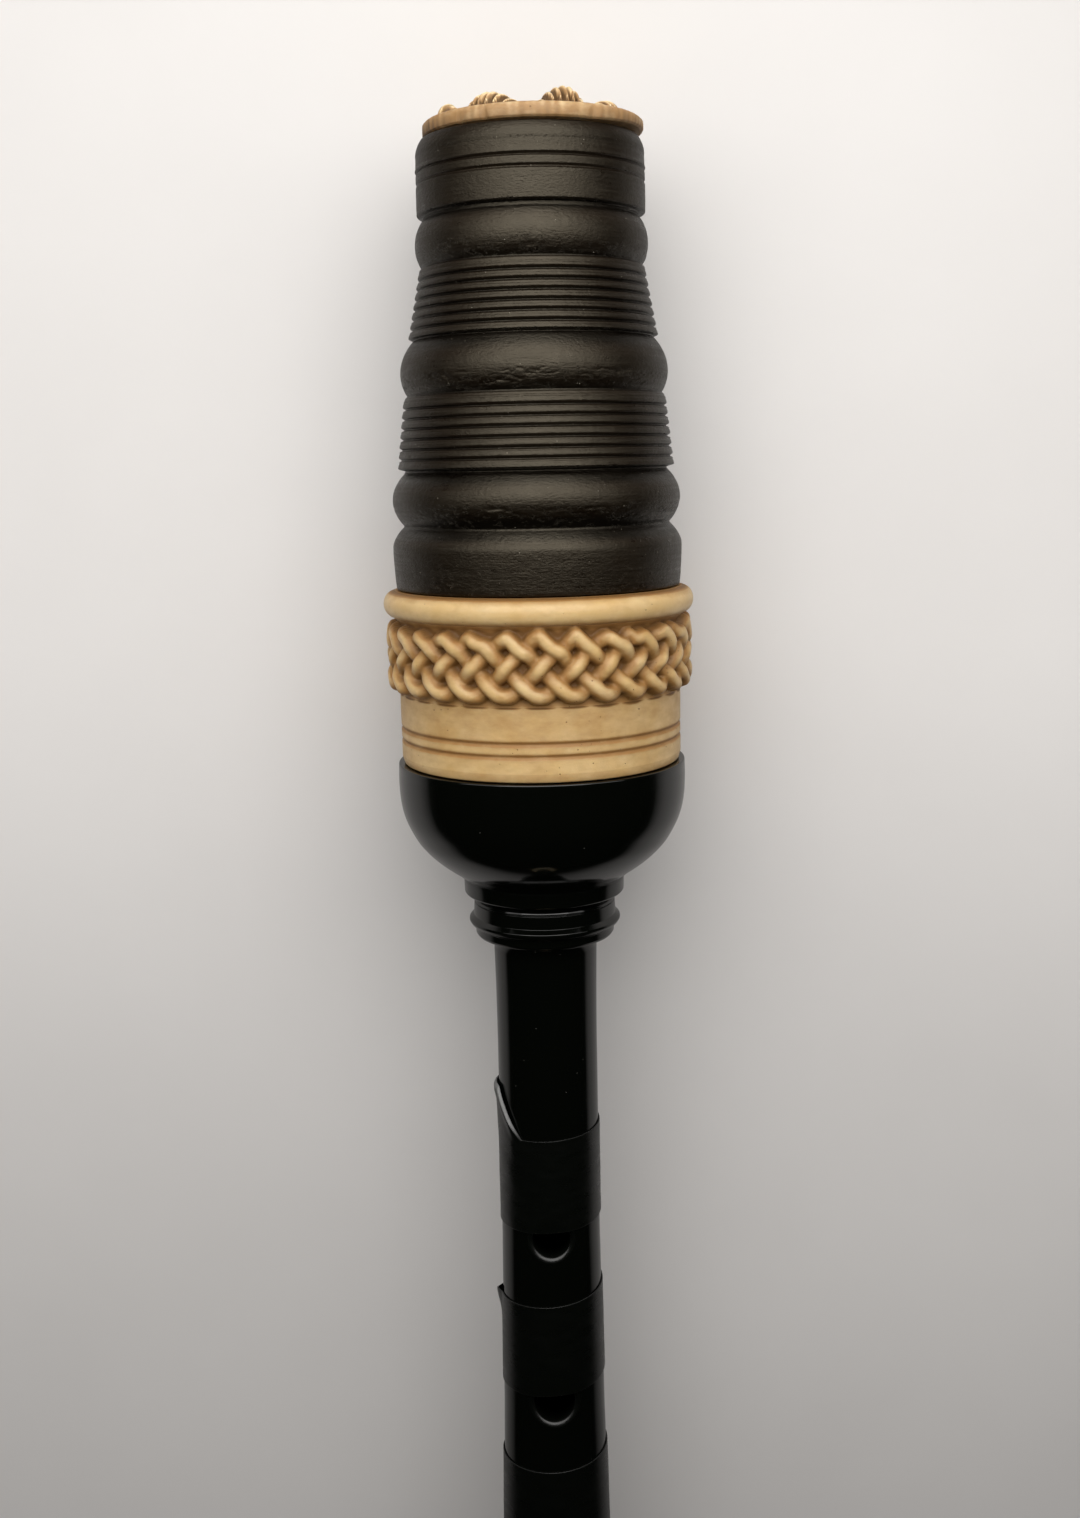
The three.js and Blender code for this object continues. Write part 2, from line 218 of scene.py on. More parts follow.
class Finish:
    """A material's node tree: a Principled shader whose sockets the methods feed."""

    def __init__(self, name, **sockets):
        self.material = bpy.data.materials.new(name)
        self.material.use_nodes = True
        self.tree = self.material.node_tree
        self.shader = self.tree.nodes["Principled BSDF"]
        self.set(**sockets)
        self.place = self.mark("upright", "Vector")

    def feed(self, socket, value):
        if isinstance(value, bpy.types.NodeSocket):
            self.tree.links.new(value, socket)
        else:
            socket.default_value = value

    def set(self, node=None, **inputs):
        """Feeds the named sockets of the node, or of the shader."""
        for socket, value in inputs.items():
            self.feed((node or self.shader).inputs[socket.replace("_", " ")], value)

    def node(self, kind, **inputs):
        made = self.tree.nodes.new(kind)
        self.set(made, **inputs)
        return made

    def mark(self, name, output="Fac"):
        made = self.tree.nodes.new("ShaderNodeAttribute")
        made.attribute_name = name
        return made.outputs[output]

    def stretched(self, x, y, z):
        return self.node("ShaderNodeMapping", Vector=self.place, Scale=(x, y, z)).outputs["Vector"]

    def noise(self, scale, detail=3, roughness=0.5, place=None):
        place = place or self.place
        made = self.node("ShaderNodeTexNoise", Vector=place, Scale=scale, Detail=detail, Roughness=roughness)
        return made.outputs["Fac"]

    def cells(self, scale):
        """The distance to the nearest of some scattered points, scale of them to the millimetre."""
        return self.node("ShaderNodeTexVoronoi", Vector=self.place, Scale=scale).outputs["Distance"]

    def fit(self, value, low, high, to_low=0, to_high=1):
        """value, taken from the range low to high to the range to_low to to_high, and held there."""
        made = self.node("ShaderNodeMapRange")
        for index, number in enumerate((value, low, high, to_low, to_high)):
            self.feed(made.inputs[index], number)
        return made.outputs["Result"]

    def math(self, operation, a, b=0):
        made = self.tree.nodes.new("ShaderNodeMath")
        made.operation = operation
        self.feed(made.inputs[0], a)
        self.feed(made.inputs[1], b)
        return made.outputs[0]

    def times(self, a, b):
        return self.math("MULTIPLY", a, b)

    def blend(self, share, a, b):
        """The colour a where share is 0, and b where it is 1."""
        made = self.tree.nodes.new("ShaderNodeMix")
        made.data_type = "RGBA"
        self.feed(made.inputs["Factor"], share)
        for socket, value in ((made.inputs[6], a), (made.inputs[7], b)):
            self.feed(socket, (*value, 1) if isinstance(value, tuple) else value)
        return made.outputs[2]

    def length(self, x, y):
        """The length of the vector (x, y)."""
        both = self.node("ShaderNodeCombineXYZ", X=x, Y=y).outputs["Vector"]
        made = self.node("ShaderNodeVectorMath", Vector=both)
        made.operation = "LENGTH"
        return made.outputs["Value"]

    def rays(self, kind):
        return self.tree.nodes.new("ShaderNodeLightPath").outputs[kind]

    def relief(self, *layers):
        """Bump from (height, depth in millimetres) layers."""
        normal = None
        for height, depth in layers:
            made = self.node("ShaderNodeBump", Height=height, Distance=depth * MM, Strength=1)
            if normal:
                self.set(made, Normal=normal)
            normal = made.outputs["Normal"]
        self.set(Normal=normal)


def polished_black():
    """Lathe-turned black acetal: near-black, with faint tool lines, fine rubs and a little dust."""
    f = Finish("polished_black", Specular_IOR_Level=0.55)
    rubs = f.noise(0.5, 5, 0.65, f.stretched(1, 1, 0.35))
    tool = f.noise(1, 2, 0.5, f.stretched(0.05, 0.05, 9))
    dust = f.fit(f.cells(0.42), 0.035, 0.02)
    f.set(
        Base_Color=f.blend(dust, (0.0014, 0.0018, 0.0012), (0.12, 0.115, 0.105)),
        Roughness=f.math("ADD", f.fit(rubs, 0.35, 0.75, 0.07, 0.16), f.times(f.mark("worn"), 0.2)),
    )
    f.relief((tool, 0.0012), (f.noise(3, 4), 0.0015))
    return f.material


def cast_black():
    """Satin cast resin: brown-black, with turning streaks, brown in the grooves, painted shade near-black
    deeper in them and on the beads' undersides, casting flaws and dust.
    """
    f = Finish("cast_black", Specular_IOR_Level=0.5, Specular_Tint=(1, 0.885, 0.68, 1))
    hollow, under = f.mark("hollow"), f.mark("under")
    streaks = f.noise(1, 4, 0.6, f.stretched(0.09, 0.09, 3.2))
    patches = f.noise(0.16, 5, 0.6)
    smears = f.fit(f.noise(0.5, 5, 0.7, f.stretched(0.8, 0.8, 1.2)), 0.52, 0.68)
    pores = f.noise(2.2, 5, 0.6, f.stretched(0.8, 0.8, 1.7))
    ragged = f.times(f.fit(f.noise(0.85, 6, 0.75, f.stretched(1, 1, 1.7)), 0.56, 0.6), under)
    dust = f.times(f.fit(f.cells(1.05), 0.075, 0.05), f.fit(f.noise(0.45, 2), 0.56, 0.6))
    ground = f.blend(f.fit(patches, 0.3, 0.7), (0.005, 0.0031, 0.0016), (0.0085, 0.0054, 0.0028))
    ground = f.blend(f.fit(streaks, 0.45, 0.8, 0, 0.5), ground, (0.021, 0.017, 0.012))
    ground = f.blend(f.fit(hollow, 0.05, 0.4, 0, 0.75), ground, (0.01, 0.005, 0.0022))
    # painted shade: near-black deep in the grooves
    ground = f.blend(f.fit(hollow, 0.25, 0.5, 0, 0.9), ground, (0.0008, 0.0005, 0.0003))
    # painted shade on the beads' undersides, which face away from the lights
    ground = f.blend(f.times(under, 0.65), ground, (0.0016, 0.0011, 0.0006))
    sheen_mark = f.times(f.math("MAXIMUM", smears, ragged), 0.1)
    f.set(
        Base_Color=f.blend(f.times(dust, 0.75), ground, (0.42, 0.38, 0.31)),
        Roughness=f.math("SUBTRACT", f.fit(streaks, 0.3, 0.75, 0.3, 0.45), sheen_mark),
    )
    f.relief((streaks, 0.022), (pores, 0.075), (ragged, -0.09), (f.noise(0.8, 4, 0.6), 0.05), (dust, 0.03))
    return f.material


def aged_ivory(name, clean, shade, patina, darkest, depth, roughness):
    """Imitation ivory, pitted, with a brown antique wash that grows over the hollows down to depth, and past
    that depth goes on to darkest, a share of the patina's colour."""
    f = Finish(
        name,
        Subsurface_Weight=0.14,
        Subsurface_Radius=(0.0007, 0.0004, 0.0002),
        Subsurface_Scale=1,
        Specular_IOR_Level=0.45,
        Coat_Weight=0.1,
        Coat_Roughness=0.3,
    )
    hollow = f.mark("hollow")
    clouds = f.noise(0.22, 4, 0.55)
    grain = f.noise(1.7, 5, 0.65)
    uneven = f.fit(f.noise(0.55, 4, 0.58, f.stretched(0.6, 0.6, 1.3)), 0.3, 0.7, -0.2, 0.2)
    wash = f.math("ADD", f.fit(hollow, depth * 0.25, depth), uneven)
    pits = f.times(f.fit(f.cells(1.1), 0.13, 0.08), f.fit(f.noise(0.5, 2), 0.53, 0.6))
    ground = f.blend(f.fit(clouds, 0.3, 0.7), clean, shade)
    ground = f.blend(f.fit(wash, 0, 1, 0, 0.85), ground, patina)
    ground = f.blend(f.fit(hollow, depth, depth * 2, 0, 0.88), ground, tuple(c * darkest for c in patina))
    f.set(
        Base_Color=f.blend(f.times(pits, 0.8), ground, tuple(c * 0.6 for c in patina)),
        Roughness=f.fit(wash, 0, 1, roughness, roughness + 0.25),
    )
    f.relief((grain, 0.02), (f.noise(5), 0.01), (pits, -0.08))
    return f.material


def new_ivory():
    """Polished imitation ivory with faint growth lines, and painted shade, brown, in its hollows."""
    f = Finish(
        "polished_ivory",
        Subsurface_Weight=0.2,
        Subsurface_Radius=(0.0025, 0.0015, 0.0008),
        Subsurface_Scale=1,
        Coat_Weight=0.25,
        Coat_Roughness=0.12,
    )
    lines = f.noise(0.35, 5, 0.6, f.stretched(0.25, 0.25, 3))
    smudge = f.noise(0.12, 4)
    ground = f.blend(f.fit(lines, 0.35, 0.7), (0.75, 0.63, 0.42), (0.66, 0.52, 0.32))
    f.set(
        # painted shade, brown, in the hollows
        Base_Color=f.blend(f.fit(f.mark("hollow"), 0.05, 0.5, 0, 0.5), ground, (0.3, 0.2, 0.1)),
        Roughness=f.fit(smudge, 0.3, 0.7, 0.2, 0.32),
    )
    f.relief((lines, 0.008), (f.noise(4), 0.004))
    return f.material


def pvc_tape():
    """Black PVC tape: semi-gloss, finely calendered, with stretch marks, and a painted highlight of lighter
    grey along its edges.
    """
    f = Finish("pvc_tape", Specular_IOR_Level=0.5)
    grain = f.noise(9, 3, 0.6)
    pull = f.noise(0.55, 4, 0.55, f.stretched(0.5, 0.5, 1.4))
    # a painted highlight: lighter grey along the strip's edges, strongest on the tab's folded edge
    sheen_mark = f.times(f.mark("edge"), 0.08)
    f.set(
        Base_Color=f.blend(sheen_mark, (0.0018, 0.0023, 0.0016), (0.22, 0.22, 0.22)),
        Roughness=f.fit(pull, 0.3, 0.7, 0.24, 0.36),
    )
    f.relief((grain, 0.004), (pull, 0.03))
    return f.material


def thread(name, light, dark, pitch):
    """Waxed wound thread: turns about the bore, painted shade between them, twisted plies and a little fuzz.
    """
    f = Finish(name, Roughness=0.72, Sheen_Weight=0.25)
    ply = f.noise(2.2, 4, 0.6, f.stretched(1, 1, 0.6))
    between = f.fit(f.mark("hollow"), 0, pitch * 0.3)
    wax = f.noise(0.3)
    ground = f.blend(f.fit(ply, 0.35, 0.7), light, tuple((a + b) / 2 for a, b in zip(light, dark)))
    # painted shade between the turns
    ground = f.blend(between, ground, dark)
    f.set(Base_Color=f.blend(f.fit(wax, 0.5, 0.75, 0, 0.4), ground, dark))
    f.relief((ply, 0.06), (f.noise(8), 0.03))
    return f.material


def reed_cane():
    """Scraped cane: straight fibres along the blade, darker bark left towards the binding."""
    f = Finish("reed_cane", Roughness=0.55, Subsurface_Weight=0.08, Subsurface_Scale=0.001)
    fibre = f.noise(1, 4, 0.6, f.stretched(7, 7, 0.22))
    flecks = f.fit(f.noise(1, 3, 0.5, f.stretched(5, 5, 0.9)), 0.62, 0.72)
    ground = f.blend(f.fit(fibre, 0.35, 0.7), (0.72, 0.52, 0.22), (0.55, 0.36, 0.13))
    ground = f.blend(f.times(f.mark("bark"), 0.8), ground, (0.5, 0.36, 0.12))
    f.set(Base_Color=f.blend(f.times(flecks, 0.5), ground, (0.25, 0.13, 0.04)))
    f.relief((fibre, 0.03))
    return f.material


def drawn_copper():
    """Drawn copper tube: lengthwise scratches and brown tarnish in patches."""
    f = Finish("drawn_copper", Metallic=1)
    scratch = f.noise(1, 4, 0.6, f.stretched(4, 4, 0.4))
    tarnish = f.noise(0.6, 4, 0.6)
    f.set(
        Base_Color=f.blend(f.fit(tarnish, 0.4, 0.7), (0.76, 0.36, 0.2), (0.36, 0.17, 0.1)),
        Roughness=f.fit(tarnish, 0.3, 0.7, 0.2, 0.42),
    )
    f.relief((scratch, 0.01))
    return f.material


BLACK = polished_black()
CAST = cast_black()
FERRULE = aged_ivory(
    "ferrule_ivory", (0.725, 0.53, 0.27), (0.645, 0.425, 0.175), (0.3, 0.132, 0.026),
    darkest=0.5, depth=0.75, roughness=0.36,
)
CREST = aged_ivory(
    "crest_ivory", (0.92, 0.76, 0.48), (0.78, 0.57, 0.3), (0.31, 0.152, 0.046),
    darkest=0.3, depth=0.6, roughness=0.42,
)
IVORY = new_ivory()
TAPE = pvc_tape()
HEMP = thread("waxed_hemp", (0.62, 0.4, 0.14), (0.26, 0.14, 0.04), 0.8)
RED_THREAD = thread("reed_thread", (0.32, 0.06, 0.04), (0.1, 0.02, 0.015), 0.5)
CANE = reed_cane()
COPPER = drawn_copper()

# ---- Chanter ----

COLS = 96  # columns round the chanter
CELL = tau / COLS
TUBE = np.array([  # distance below the rim and the tube's outer radius there
    (28.4, 7.8), (31.5, 7.74), (35, 7.68), (42, 7.63), (56, 7.66), (76, 7.68), (80, 7.75), (105, 8.05),
    (110, 8.17), (160, 9.1), (210, 10.15), (260, 11.3), (296, 12.3), (306, 12.8),
])
FOOT = 0.5  # the tube's lower end, inside the sole
BORE_FOOT, THROAT, SEAT_DEPTH = 9, 2, 14
SEAT = LENGTH - SEAT_DEPTH  # the bottom of the reed's seat
HOLES = {  # distance below the rim and radius
    "high_g": (73.9, 2.9), "f": (101.2, 3.2), "e": (129.2, 3.2), "d": (155.7, 3.3),
    "c": (182.2, 3.2), "b": (209.2, 3.4), "low_a": (236.2, 3.5),
}
THUMB, SOUND = (60.5, 2.8), (283, 4.75)
LIP = 0.85  # the rounding at each hole's mouth
OUT_CELLS = 20  # rows and columns of the wall that each hole's patch takes outside
IN_ROWS, IN_COLS = 10, 30  # and in the bore


def tube_radius(z):
    return np.interp(RIM - np.asarray(z, float), TUBE[:, 0], TUBE[:, 1])


def bore_radius(z):
    return BORE_FOOT + (THROAT - BORE_FOOT) * (np.asarray(z, float) - FOOT) / (SEAT - 1 - FOOT)


def hole_list():
    """Every hole as (height, radius, direction in quarter turns from -Y)."""
    holes = [(RIM - below, r, 0) for below, r in HOLES.values()]
    holes.append((RIM - THUMB[0], THUMB[1], 2))
    holes += [(RIM - SOUND[0], SOUND[1], turn) for turn in (1, 3)]
    return holes


def wall_rows(holes, low, high, reach, cells, step):
    """Heights from low to high, with even rows of its own for each hole's patch, which ends a reach above and
    below the hole's middle. Also each patch's first row."""
    rows, starts, z = [], {}, low
    for centre in sorted({centre for centre, _, _ in holes}):
        half = reach(centre)
        gap = max(1, round((centre - half - z) / step))
        rows += list(z + (centre - half - z) * np.arange(gap) / gap)
        starts[centre] = len(rows)
        rows += list(centre - half + 2 * half * np.arange(cells) / cells)
        z = centre + half
    gap = max(1, round((high - z) / step))
    rows += list(z + (high - z) * np.arange(gap + 1) / gap)
    return rows, starts


def add_points(points, angles, heights, radii):
    base = len(points["xyz"])
    points["xyz"] += polar(radii, angles, heights).tolist()
    return list(range(base, base + len(heights)))


def patch(points, faces, skip, hole, first_row, wide, tall, radius_at, ring_radius):
    """Cuts a hole's cells from the wall and fills the patch with rings down to a circle. Returns the loop of
    the circle's points, and the direction of each from the hole's middle."""
    centre, _, turn = hole
    middle = turn * COLS // 4
    first = middle - wide // 2
    skip.update((first_row + i, (first + j) % COLS) for i in range(tall) for j in range(wide))
    edge = [(0, j) for j in range(wide)] + [(i, wide) for i in range(tall)]
    edge += [(tall, wide - j) for j in range(wide)] + [(tall - i, 0) for i in range(tall)]
    last = [(first_row + i) * COLS + (first + j) % COLS for i, j in edge]
    heights = points["z"]
    upward = np.sign(heights[first_row + 1] - heights[first_row])
    start = -pi / 2 - wide / 2 * tau / len(edge)
    turns = (start + columns(len(edge))) * upward
    across = np.arcsin(ring_radius * np.cos(turns) / radius_at(centre))
    circle = np.c_[across, centre + ring_radius * np.sin(turns)]
    outline = np.array([((j - wide / 2) * CELL, heights[first_row + i]) for i, j in edge])
    for share in (0.72, 0.48, 0.28, 0.12, 0):
        ring = circle + (outline - circle) * share
        loop = add_points(points, ring[:, 0] + middle * CELL, ring[:, 1], radius_at(ring[:, 1]))
        join(faces, last, loop)
        last = loop
    return last, turns


def chanter():
    """The chanter's closed wall, outside and bore, with each hole a real passage with rounded lips."""
    holes = hole_list()

    def out_reach(z):
        return OUT_CELLS / 2 * CELL * tube_radius(z) * 0.98

    def in_reach(z):
        return IN_COLS / 2 * CELL * bore_radius(z) * 0.55 + 2.2

    outer, out_first = wall_rows(holes, 19, RIM - 28.9, out_reach, OUT_CELLS, 3)
    inner, in_first = wall_rows(holes, 1.2, SEAT - 1.5, in_reach, IN_ROWS, 5)
    foot = fillet([
        (BORE_FOOT, FOOT, 0), (11.6, FOOT, 0.4), (11.6, 13.15, 0), (13.4, 13.15, 0.3), (13.2, 15, 0),
    ])
    collar = fillet([(r, RIM - below, bend) for r, below, bend in (
        (7.8, 28.4, 0), (8.1, 27.5, 0.4), (10.2, 26.8, 0.3), (10.45, 26.4, 0.1), (10.5, 25.4, 0.1),
        (11.15, 24.95, 0.15), (11.42, 24.5, 0.2), (11.36, 24.2, 0.15), (10.72, 23.6, 0.1),
        (10.62, 21.7, 0.06), (10.45, 21.6, 0.03), (10.6, 21.48, 0.06), (10.5, 21.2, 0.2), (10.1, 20.75, 0.2),
        (10, 20.3, 0.15), (11.85, 20.15, 0.1), (12, 19.95, 0.1), (12.04, 18.1, 0.15), (11.95, 17.75, 0.1),
        (12.3, 17.6, 0),
    )], 3)
    bulb = flow([(RIM - below, r) for below, r in (
        (17.4, 12.55), (16.9, 13.1), (16.1, 14.25), (15, 15.72), (13.9, 16.97), (13, 17.83), (11.95, 18.67),
        (11, 19.25), (9.9, 19.82), (8.9, 20.28), (7.8, 20.66), (6.5, 20.95), (5.3, 21.12), (4, 21.22),
        (2.5, 21.26), (1, 21.22),
    )], 0.45)
    tenon = fillet([
        (21.2, RIM - 0.3, 0), (21.15, RIM, 0.25), (10.4, RIM, 0.3), (10.4, RIM + 3.2, 0.2),
        (9.2, RIM + 3.4, 0.2), (9.2, RIM + 27.6, 0.2), (10.3, RIM + 27.8, 0.2), (10.3, LENGTH - 0.8, 0.3),
        (9.6, LENGTH, 0.3), (4.3, LENGTH, 0.3), (3.1, SEAT, 0.2), (THROAT, SEAT - 0.6, 0),
    ])
    wall, bore = np.c_[tube_radius(outer), outer], np.c_[bore_radius(inner), inner][::-1]
    profile = np.vstack([foot, wall, collar, bulb, tenon, bore])
    points = {"xyz": spin(profile[:, 0], profile[:, 1], columns(COLS)).tolist(), "z": profile[:, 1]}
    faces, skip, passages = [], set(), []
    for hole in holes:
        centre, radius, _ = hole
        first = len(foot) + out_first[centre]
        mouth = patch(points, faces, skip, hole, first, OUT_CELLS, OUT_CELLS, tube_radius, radius + LIP)
        first = len(profile) - 1 - in_first[centre] - IN_ROWS
        inside = patch(points, faces, skip, hole, first, IN_COLS, IN_ROWS, bore_radius, radius)
        passages.append((hole, *mouth, *inside))
    first_lip = len(points["xyz"])
    for (centre, radius, turn), last, turns, inside, inner_turns in passages:
        for t in (0.08, 0.2, 0.35, 0.55, 0.78, 1):
            ring = radius + LIP * (1 - t)
            depth = 0.6 * LIP * t**2.2
            across, along = ring * np.cos(turns), ring * np.sin(turns)
            out = np.sqrt(tube_radius(centre + along) ** 2 - across**2) - depth
            direction = turn * pi / 2 + np.arctan2(across, out)
            loop = add_points(points, direction, centre + along, np.hypot(across, out))
            join(faces, last, loop)
            last = loop
        # The bore's rows run down, so its circle runs the other way round and is matched by direction.
        order = [int(np.argmin(np.abs(np.exp(1j * inner_turns) - np.exp(1j * a)))) for a in turns]
        join(faces, last, [inside[k] for k in order])
    faces += grid_faces(len(profile), COLS, True, skip)
    xyz = points["xyz"]
    worn = np.arange(len(xyz)) >= first_lip
    piece("chanter_turning", "chanter", "black_polish", "chanter_body", BLACK, xyz, faces, worn=worn)


def sole():
    """The sole: a wide polished ring with a rounded rim and a stepped top."""
    radii, heights = fillet([
        (11.7, 0, 0.2), (18, 0, 0), (25, 0, 0.8), (27.3, 2, 2), (29.35, 4.6, 2.6), (29.35, 8.2, 2.6),
        (27.4, 10.6, 1.6), (25.4, 11, 0.5), (24.9, 11.75, 0.4), (20, 12.5, 0), (15.2, 13, 0.3),
        (11.7, 13, 0.2),
    ], 6).T
    # the sole's painted shade, brown, in the step on its top
    step = hump(heights - 11.2, 0.35) * (radii > 24)
    turned(
        "sole_turning", "chanter", "imitation_ivory", "sole_ring", IVORY, radii, heights, columns(128),
        hollow=step,
    )


def wound(name, body, slot, node, material, outer, inner_radius, pitch, depth, angles, step):
    """A sleeve of thread wound tight: outer is its (z, r) outline, and the turns climb one pitch each."""
    rows = flow(outer, step)
    radii, heights = rows[:, :1], rows[:, 1]
    phase = heights[:, None] / pitch + angles / tau
    turn = np.abs(np.sin(pi * phase))
    cross = np.abs(np.sin(pi * (heights[:, None] / (pitch * 6.3) - angles * 1.5 / pi)))
    fade = np.clip(np.minimum(heights - heights[0], heights[-1] - heights) / pitch, 0, 1)[:, None]
    # hollow: the depth between turns, which also sets the thread's painted shade there
    hollow = depth * (1 - turn**0.6)
    surface = radii - hollow * fade - 0.25 * depth * (cross < 0.12)
    surface = grid(angles, surface, [inner_radius] * 2)
    hollow = grid(angles, hollow, [0, 0])
    heights = np.append(heights, [heights[-1], heights[0]])
    turned(name, body, slot, node, material, surface, heights, angles, hollow=hollow)


# ---- Tape ----

TAPE_WIDTH, TAPE_THICKNESS = 15, 0.17
TAPE_COVERS = 0.28  # the share of each hole's width that its tape covers


def strip(name, start, sweep, climb, tab=None, ear=None):
    """One hand-wound strip. climb is its lead in millimetres per radian, tab a cut corner that stands above
    its upper edge, and ear a corner that has come unstuck. The angles given are degrees from -Y."""
    start, sweep = start * DEG, sweep * DEG
    below, hole_r = HOLES[name]
    low_edge = RIM - below + hole_r * (1 - 2 * TAPE_COVERS)
    angles = np.linspace(start, start + sweep, max(40, round(sweep / 0.045)))
    upper_edge = (0.965, 0.975, 0.98, 0.985, 0.99, 0.995, 0.998, 1)
    across = np.array([0, 0.004, 0.02, *np.linspace(0.06, 0.94, 15), *upper_edge])
    low = low_edge + climb * angles
    high = low + TAPE_WIDTH
    lift = np.zeros((len(across), len(angles)))
    thick = np.full(lift.shape, TAPE_THICKNESS)
    if tab:
        *places, rise = tab
        back, hold, tip, foot = np.array(places) * DEG
        share = np.interp(angles, (back, hold, tip, foot), (0, 1, 1, 0))
        high = high + rise * share
        folded = np.minimum(share * 3, 1) * ease(angles, hold - 0.3, tip)
        lift += np.outer(0.35 * ease(across, 0.55, 1), folded)
        fold = np.sqrt(1 - np.clip((across - 0.975) / 0.025, 0, 1) ** 2)
        thick = thick * (1 + np.outer(fold - 1, folded))
        thick += 0.33 * np.outer(fold * ease(across, 0.9, 0.95), folded)
    if ear:
        at, width, height = ear
        near = np.clip(1 - np.abs(angles - at * DEG) / (width * DEG), 0, 1)
        lift += height * np.outer(ease(across, 0.7, 1), near)
    heights = low + across[:, None] * (high - low)
    lap = 0.21 * ease(angles, start + tau - 0.35, start + tau - 0.08)
    front = wrapped(angles)
    sides = tube_radius(heights) * np.sin(front)
    into = np.clip(1 - (sides**2 + (heights - (RIM - below)) ** 2) / (hole_r + 0.2) ** 2, 0, 1)
    sag = 0.3 * into * (np.abs(front) < 1)
    rng = np.random.default_rng(len(name) + int(below))
    creases = 0
    for _ in range(3):
        size, turns = rng.uniform(0.008, 0.02), rng.integers(3, 9)
        slant, shift = rng.uniform(0.2, 0.9), rng.uniform(0, 6)
        creases = creases + size * np.cos(turns * angles + heights * slant + shift)
    inner = tube_radius(heights) + 0.05 + lap + lift - sag + np.maximum(creases, 0)
    outer = inner + thick
    rows, cols = heights.shape
    points = np.vstack([polar(radii, angles, heights).reshape(-1, 3) for radii in (outer, inner)])
    count = rows * cols
    faces = []
    for i in range(rows - 1):
        for j in range(cols - 1):
            a = i * cols + j
            faces.append((a, a + 1, a + cols + 1, a + cols))
            faces.append((count + a, count + a + cols, count + a + cols + 1, count + a + 1))
    rim = [(0, j) for j in range(cols)] + [(i, cols - 1) for i in range(1, rows)]
    rim += [(rows - 1, j) for j in range(cols - 2, -1, -1)] + [(i, 0) for i in range(rows - 2, 0, -1)]
    loop = [i * cols + j for i, j in rim]
    join(faces, loop, [count + k for k in loop])
    # The edge mark sets the tape's painted highlight along the strip's edges.
    edge = np.zeros((rows, cols))
    edge[[0, -1]] = 1
    edge[:, [0, -1]] = 1
    if tab:
        # a far stronger painted highlight along the tab's folded edge
        edge += 9 * np.outer(ease(across, 0.975, 0.98), folded)
    edges = np.tile(edge.ravel(), 2)
    piece("tape_strip_" + name, "chanter", "black_tape", "tape_" + name, TAPE, points, faces, edge=edges)


chanter()
sole()
wound(
    "tenon_thread", "chanter", "waxed_hemp", "tenon_hemp", HEMP,
    [(RIM + z, r) for z, r in ((3.6, 10.3), (4.2, 10.6), (6, 10.8), (20, 10.78), (26.4, 10.5), (27.4, 10.1))],
    inner_radius=9.3, pitch=0.8, depth=0.22, angles=columns(96), step=0.13,
)
strip("high_g", -160, 298, 0.35, tab=(-150, -112, -70, -33, 7.6))
strip("f", -132, 384, 0.6, ear=(-93, 11, 0.75))
strip("e", -200, 380, 0.45)
strip("d", -150, 376, 0.2)
strip("c", -215, 390, -0.25)
strip("b", -170, 382, 0.3)
strip("low_a", -190, 372, -0.15)

# ---- Reed ----

REED_FOOT = LENGTH - 12
BLADE_FROM, BLADE_TO = LENGTH + 6.3, LENGTH + 23.5
BINDING_TO = LENGTH + 10.3


def staple():
    """The reed's tapered copper tube."""
    top = LENGTH + 6
    profile = fillet([(1.7, REED_FOOT, 0.1), (2.12, REED_FOOT, 0.1), (2.92, top, 0.1), (2.5, top, 0.1)], 3)
    turned("reed_tube", "reed", "copper_tube", "reed_staple", COPPER, *profile.T, columns(48))


def blade(name, node, side):
    """A cane blade: half round in the binding, scraped flat and wide at the lips."""
    stations = np.linspace(0, 1, 30)
    arc = np.linspace(0, pi, 17)
    held = (BINDING_TO - BLADE_FROM) / (BLADE_TO - BLADE_FROM)
    rows, bark = [], []
    for t in stations:
        free = max(0.0, (t - held) / (1 - held))
        wide = 2.98 + 2.45 * math.sin(free * pi / 2)
        tall = 2.75 - 1.8 * free**0.8
        wall = 0.95 - 0.72 * free
        z = BLADE_FROM + t * (BLADE_TO - BLADE_FROM) - 0.25 * free**6
        for angle, drop in [(a, 0) for a in arc] + [(a, wall) for a in arc[::-1]]:
            reach = 0.985 if drop else 1
            y = 0.12 + max(tall * math.sin(angle) ** 0.9 - drop, 0 if drop else 0.02)
            rows.append((wide * reach * math.cos(angle), side * y, z))
            bark.append(1 - ease(t + 0.12 * abs(math.cos(angle)), held + 0.02, held + 0.22))
    piece(name, "reed", "cane", node, CANE, rows, capped(len(stations), 2 * len(arc)), bark=bark)


staple()
wound(
    "reed_seat_winding", "reed", "waxed_hemp", "reed_seat_thread", HEMP,
    [(REED_FOOT + 1.5, 2.85), (REED_FOOT + 2.2, 3.12), (LENGTH - 1.6, 3.88), (LENGTH - 1, 3.6)],
    inner_radius=3.05, pitch=0.5, depth=0.12, angles=columns(64), step=0.08,
)
wound(
    "reed_binding_winding", "reed", "reed_thread", "reed_binding", RED_THREAD,
    [(LENGTH + z, r) for z, r in ((0.8, 3.7), (1.5, 4.05), (2.5, 4.22), (9, 4.22), (10.3, 3.8))],
    inner_radius=3.15, pitch=0.42, depth=0.12, angles=columns(64), step=0.07,
)
blade("reed_cane_front", "reed_blade_front", -1)
blade("reed_cane_back", "reed_blade_back", 1)

# ---- Cap ----
# Heights here are above the bulb's rim.

